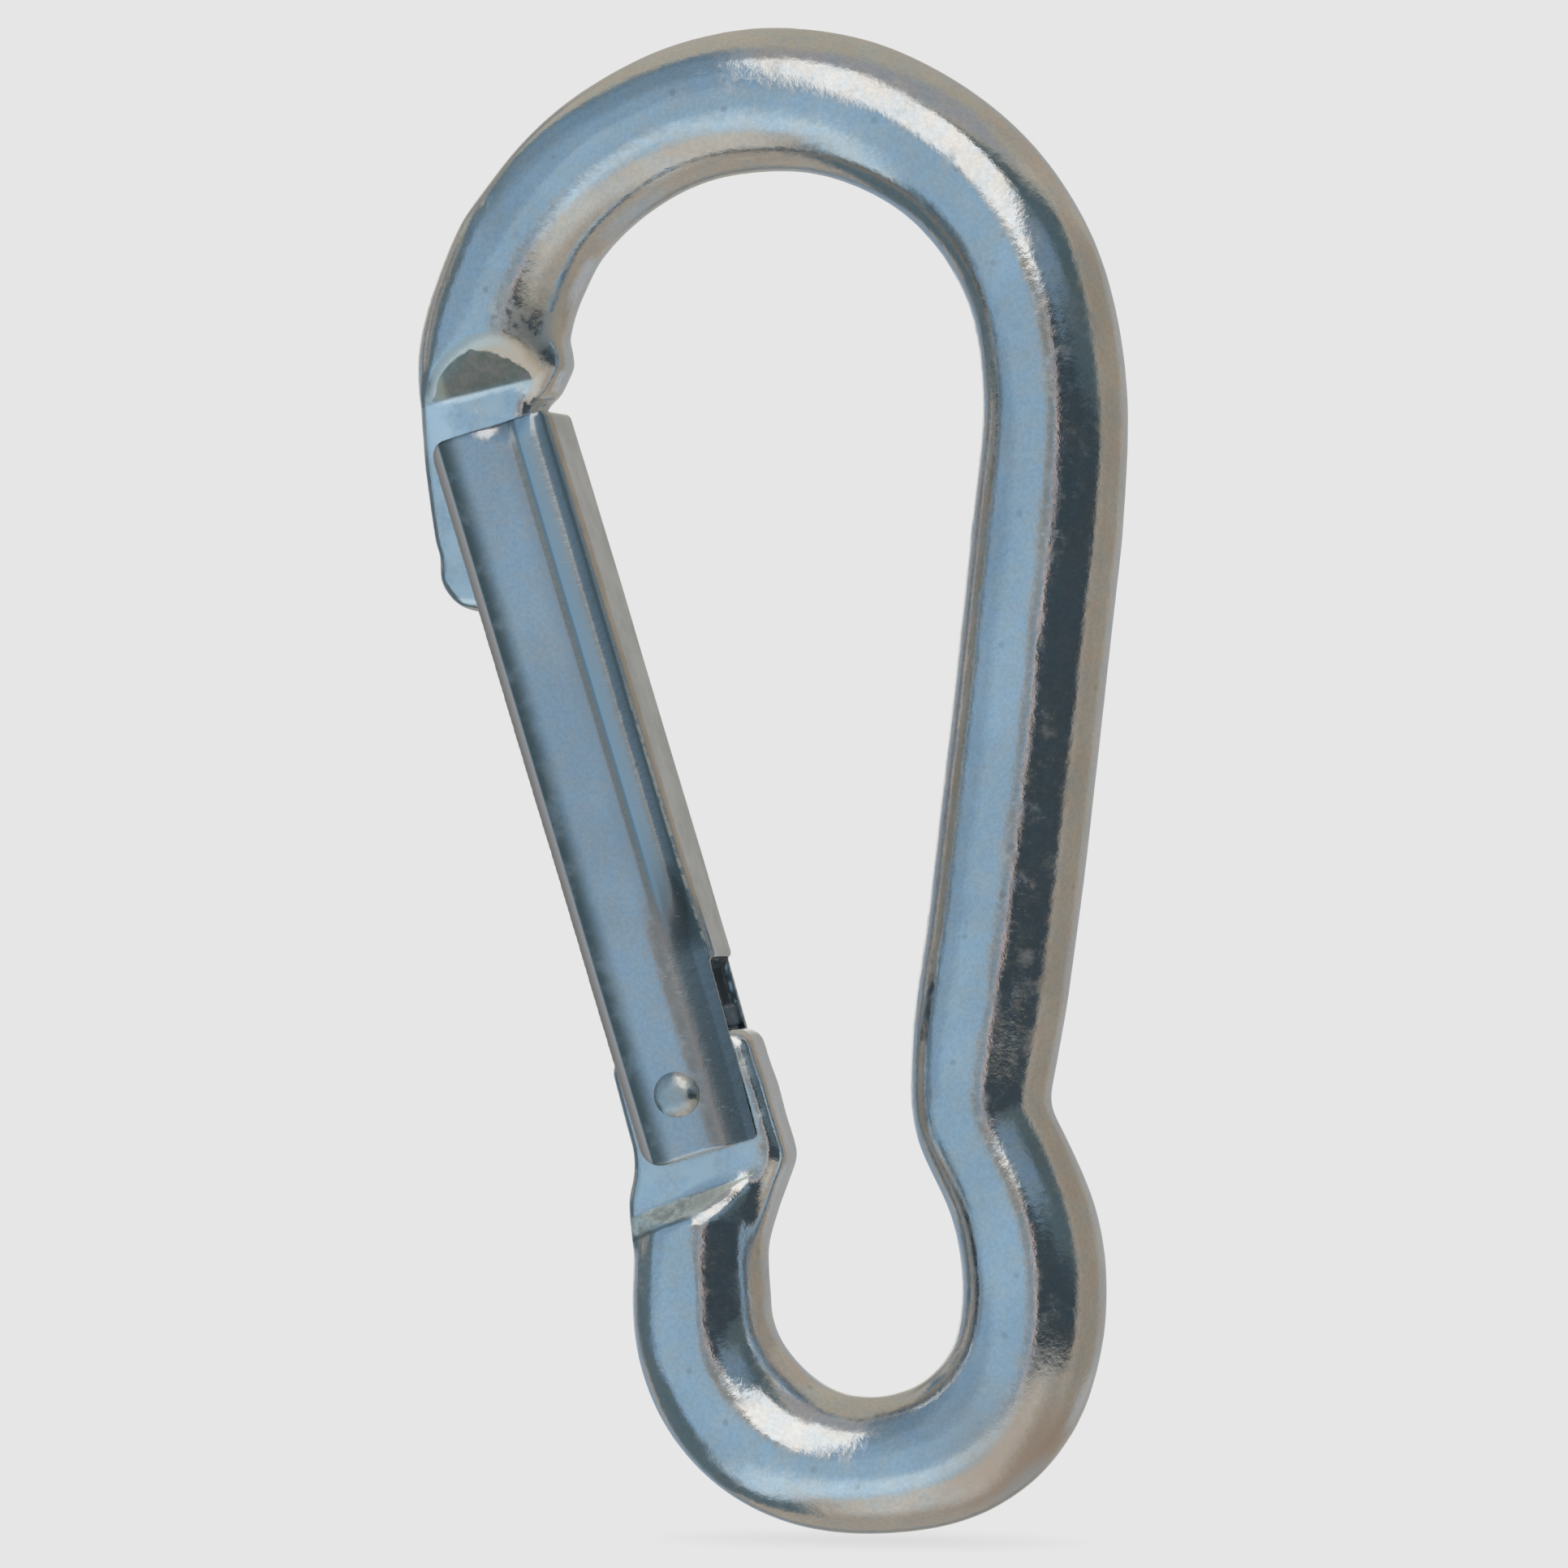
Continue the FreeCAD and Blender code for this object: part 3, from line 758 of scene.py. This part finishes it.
def make_rod():
    rod = dense_copy("rod", "hook_body", voxel=ROD_VOXEL, soften=4, settle=12)
    for centre, full, reach, passes in ROUNDED:
        points = read_points(rod.data)
        points[:, 1] = np.abs(points[:, 1])
        near = 1.0 - smoothstep(distances(points, centre), full, reach)
        relax(rod.data, passes, keep_size=False, where=near)
    ripple(rod.data, ROD_WAVES, seed=11.0)
    points = read_points(rod.data)
    worked = np.zeros(len(points))
    for centre, reach in WORKED_ENDS:
        near = 1.0 - smoothstep(distances(points, centre), reach * WORKED_FULL, reach)
        worked = np.maximum(worked, near)
    ripple(rod.data, HAMMER_WAVES, seed=31.0, where=worked)
    burr(rod.data, BURR, radius=0.4, height=0.14)
    keep_inside(rod.data, "hook_body")
    dress(rod, rod_material())
    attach(rod, "hook")
    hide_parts("hook_body")


# ------------------------------------------------------------------ the gate
GATE_BASE = (0.62, 0.62, 0.635)
INSIDE_COOL = (0.80, 0.84, 0.85)
# painted reflections: a dark band beside the rolled edges, and pale warm rolled edges
DARK_BAND_REFLECTION = (0.11, 0.135, 0.13)
ROLLED_EDGE_REFLECTION = (0.90, 0.68, 0.57)
CHEEK_DULL, STRIP_COOL = (0.48, 0.49, 0.51), (0.50, 0.56, 0.60)
# painted shade along the crease, and a painted dark reflection on the cheek next to the hinge
CREASE_SHADE, HINGE_DARK_REFLECTION = (0.25, 0.31, 0.34), (0.30, 0.35, 0.37)
# painted highlight along the lower part of the fold
FOLD_HIGHLIGHT = (1.0, 0.96, 0.88)
BACK_CLOUDS = (0.62, 0.63, 0.615), (0.78, 0.785, 0.775)


def gate_material():
    """Folded sheet with painted dark and pale reflections at its rolled edges, a painted shade line
    along the crease, a painted dark reflection by the hinge, a painted highlight along the fold and a
    clouded back.
    """
    z = Zinc("gate_zinc", GATE_BASE, rough=0.12, peel=0.3)
    g = z.g
    w, y, u = z.gate_axes()
    outer = g.step(y, 3.3, 3.45)
    before_fold = g.below(w, 4.55, 4.7)
    # the inside of the folded sheet is rougher and a little cooler
    z.paint(g.times(g.below(w, 4.3, 4.6), g.below(y, 3.05, 3.3)), INSIDE_COOL, rough=0.5, amount=0.9)
    # painted reflections: a dark band beside the rolled free edges, and the edges themselves painted
    # duller and warmer, standing in for the dark and the pale room they reflect
    uneven = z.blotches(700.0, 0.25, 0.55, to_low=0.72)
    dark_band_reflection = g.all_of(g.step(w, -3.05, -2.9), g.below(w, -2.75, -1.2), outer, uneven)
    z.paint(dark_band_reflection, DARK_BAND_REFLECTION, rough=0.3, amount=0.95)
    rolled_edge_reflection = g.times(g.below(w, -3.05, -2.85), g.step(y, 3.0, 3.1))
    z.paint(rolled_edge_reflection, ROLLED_EDGE_REFLECTION, rough=0.55, amount=0.92)
    # the cheek dulls towards the fold, and the strip between the crease and the fold is cooler
    z.paint(g.times(g.step(w, 0.6, 2.2), outer), CHEEK_DULL, rough=0.2, amount=0.7)
    strip = g.all_of(g.step(w, 2.3, 2.42), g.step(y, 2.7, 2.9), before_fold)
    z.paint(strip, STRIP_COOL, rough=0.22)
    # painted shade: a dark line along the crease, which runs out towards the hinge
    crease_shade = g.all_of(g.band(w, 1.98, 2.40, soft=0.14), outer, g.step(u, 9.0, 16.0))
    z.paint(crease_shade, CREASE_SHADE, rough=0.3, amount=0.8)
    # painted dark reflection: next to the hinge the cheek is dark towards the fold
    hinge_reflection = g.all_of(outer, g.step(w, 1.6, 3.0), before_fold, g.below(u, 11.0, 19.0))
    z.paint(hinge_reflection, HINGE_DARK_REFLECTION, rough=0.26, amount=0.85)
    # painted highlight: a pale beaded line along the lower part of the fold
    bead = z.blotches(1500.0, 0.40, 0.55, detail=2.0)
    wear_and_highlight = g.all_of(g.band(w, 4.44, 4.54, soft=0.08), g.step(y, 2.6, 2.9), g.below(u, 24.0, 29.0), bead)
    z.paint(wear_and_highlight, FOLD_HIGHLIGHT, rough=0.5, amount=0.9)
    # the folded back is clouded
    back = g.times(g.step(w, 4.62, 4.74), g.below(y, 4.0, 4.1))
    cloud = z.blotches(300.0, 0.36, 0.64, detail=4.0, rough=0.65)
    z.paint(back, g.mix(cloud, *BACK_CLOUDS), rough=0.3, amount=0.9)
    return z.finish()


GATE_VOXEL = 0.16
GATE_WAVES = ((12.0, 0.06), (5.0, 0.015))
GATE_BACK, CHEEK, CREASE = 4.85, 4.1, 2.3        # outer faces of the folded sheet and its crease line
CAD_TILT, CAD_FOLD = math.radians(10.0), 1.2     # the strip's lean and the fold's radius in the CAD
SOFT_TILT, SOFT_FOLD = math.radians(3.0), 1.6    # and in the finished sheet
FOLD_SKIN = (2.5, 3.1)               # |y| over which the skin comes to follow the finished fold
OUTER_SKIN = 3.4                     # |y| beyond which the skin is the sheet's outer one
# the hinge end, up to these heights: its cheeks lean in from w = LEAN_FROM on along a parabola
HINGE_END = (8.5, 15.0)
LEAN_FROM, LEAN_TOP, LEAN_CURVE = 0.6, 4.14, 0.085
LEAN_SKIN, LEAN_GAP = 3.3, 0.15      # |y| that parts the outer skin from the inner, and the inner's step
# hollows pressed into the outer skin: (centre, half width) and depth
CREASE_WIDTH, CREASE_DEPTH = 0.18, 0.07
GROOVE, GROOVE_DEPTH = (-2.3, 0.35), 0.10
TOP_DENT_W, TOP_DENT_U, TOP_DENT_DEPTH = (1.6, 1.5), (46.4, 0.95), 0.55


def fold_profile(w, tilt, radius):
    """Outer |y| of the gate at w when the strip leans in by tilt and folds over with this radius."""
    centre = GATE_BACK - radius
    start = centre + radius * math.sin(tilt)
    level = CHEEK - (start - CREASE) * math.tan(tilt) - radius * math.cos(tilt)
    arc = level + np.sqrt(np.clip(radius ** 2 - (w - centre) ** 2, 0.0, None))
    straight = CHEEK - (w - CREASE) * math.tan(tilt)
    return np.where(w < CREASE, CHEEK, np.where(w < start, straight, arc))


def hollow(depth, *spreads):
    """Depth of a smooth hollow; each spread is a coordinate, the hollow's centre and its half width."""
    fall = 0.0
    for x, centre, width in spreads:
        fall = fall - ((x - centre) / width) ** 2
    return depth * np.exp(fall)


def make_gate():
    shell = dense_copy("gate_shell", "gate", voxel=GATE_VOXEL, soften=3, settle=8)
    points = read_points(shell.data)
    w, y, u = gate_coords(points)
    side = np.sign(points[:, 1])
    outer = y > OUTER_SKIN
    # near the hinge the cheeks lean in towards the back
    near = 1.0 - smoothstep(u, *HINGE_END)
    lean = LEAN_TOP - LEAN_CURVE * np.clip(w - LEAN_FROM, 0.0, None) ** 2
    leaned = np.where(y > LEAN_SKIN, np.minimum(y, lean), np.minimum(y, lean - LEAN_GAP))
    y_new = y + (leaned - y) * near * (w > LEAN_FROM)
    # the strip beyond the crease is nearly flush with the cheek and rolls over into a wide fold
    change = fold_profile(w, SOFT_TILT, SOFT_FOLD) - fold_profile(w, CAD_TILT, CAD_FOLD)
    y_new += change * smoothstep(y, *FOLD_SKIN) * (1.0 - near)
    y_new -= hollow(CREASE_DEPTH, (w, CREASE, CREASE_WIDTH)) * outer * (1.0 - near)
    # shallow groove beside the rolled edge
    y_new -= hollow(GROOVE_DEPTH, (w, *GROOVE)) * outer
    # a small pressed flat on the top edge
    y_new -= hollow(TOP_DENT_DEPTH, (w, *TOP_DENT_W), (u, *TOP_DENT_U)) * (y > LEAN_SKIN)
    points[:, 1] = side * y_new * MM
    write_points(shell.data, points)
    relax(shell.data, 3)
    ripple(shell.data, GATE_WAVES, seed=23.0)
    keep_inside(shell.data, "gate")
    dress(shell, gate_material())
    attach(shell, "gate")
    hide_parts("gate")


# ------------------------------------------------------------------ rivet, spring and plunger
RIVET_BASE, SPRING_BASE, PLUNGER_BASE = (0.58, 0.59, 0.58), (0.62, 0.63, 0.63), (0.62, 0.63, 0.64)
PIN_R, HEAD_SEAT, HEAD_H = 1.0, 4.05, 0.5    # pin radius, |y| where the heads begin, height of a head
DOME_STEPS, DOME_POWER = 18, 3.2     # the higher the power, the flatter the head
RIVET_WAVES = ((1.4, 0.02),)


def make_rivet():
    low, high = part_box("hinge_rivet")
    reach = high.y / MM
    head_r = (high.x - low.x) / 2 / MM
    half = [(PIN_R, 0.0), (PIN_R, HEAD_SEAT), (head_r, HEAD_SEAT)]
    for i in range(DOME_STEPS, -1, -1):
        share = math.sin(math.pi / 2 * i / DOME_STEPS)
        half.append((head_r * share, reach - HEAD_H + HEAD_H * (1.0 - share ** DOME_POWER)))
    profile = [(r, -h) for r, h in reversed(half[1:])] + half
    rivet = lathe("rivet", profile, PIVOT, (0, 1, 0))
    ripple(rivet.data, RIVET_WAVES, seed=5.0)
    keep_inside(rivet.data, "hinge_rivet")
    dress(rivet, Zinc("rivet_zinc", RIVET_BASE, rough=0.26, peel=0.5).finish())
    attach(rivet, "gate")
    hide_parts("hinge_rivet")


SPRING_LOW, SPRING_HIGH = 5.45, 22.57    # wire centres at the two ends, mm up the gate
SPRING_R, WIRE_R = 2.2, 0.39
TURNS, END_TURN = 11.0, 0.75         # all turns, and how much of one lies closed at each end
TURN_STEPS = 56


def make_spring():
    """Compression spring: each closed end turn rises by one wire, the turns between share the rest."""
    length = SPRING_HIGH - SPRING_LOW
    end_rise = 2 * WIRE_R / length
    path = []
    for i in range(int(TURNS * TURN_STEPS) + 1):
        turn = i / TURN_STEPS
        inner = np.clip((turn - END_TURN) / (TURNS - 2 * END_TURN), 0.0, 1.0)
        ends = min(turn / END_TURN, 1.0) + max((turn - TURNS + END_TURN) / END_TURN, 0.0)
        share = inner * (1 - 2 * end_rise) + end_rise * ends
        angle = 2 * math.pi * turn
        path.append(gate_pt(SPRING_R * math.cos(angle), SPRING_LOW + length * share,
                            SPRING_R * math.sin(angle)))
    spring = tube("spring_coil", path, WIRE_R)
    dress(spring, Zinc("spring_steel", SPRING_BASE, rough=0.3).finish())
    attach(spring, "gate")
    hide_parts("gate_spring")
    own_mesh(spring)


def make_plunger():
    plunger = dense_copy("plunger", "spring_plunger", voxel=0.13, soften=2, settle=4)
    keep_inside(plunger.data, "spring_plunger")
    dress(plunger, Zinc("plunger_steel", PLUNGER_BASE, rough=0.30).finish())
    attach(plunger, "plunger")
    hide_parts("spring_plunger")


make_camera()
make_world()
make_floor()
make_rod()
make_gate()
make_rivet()
make_spring()
make_plunger()
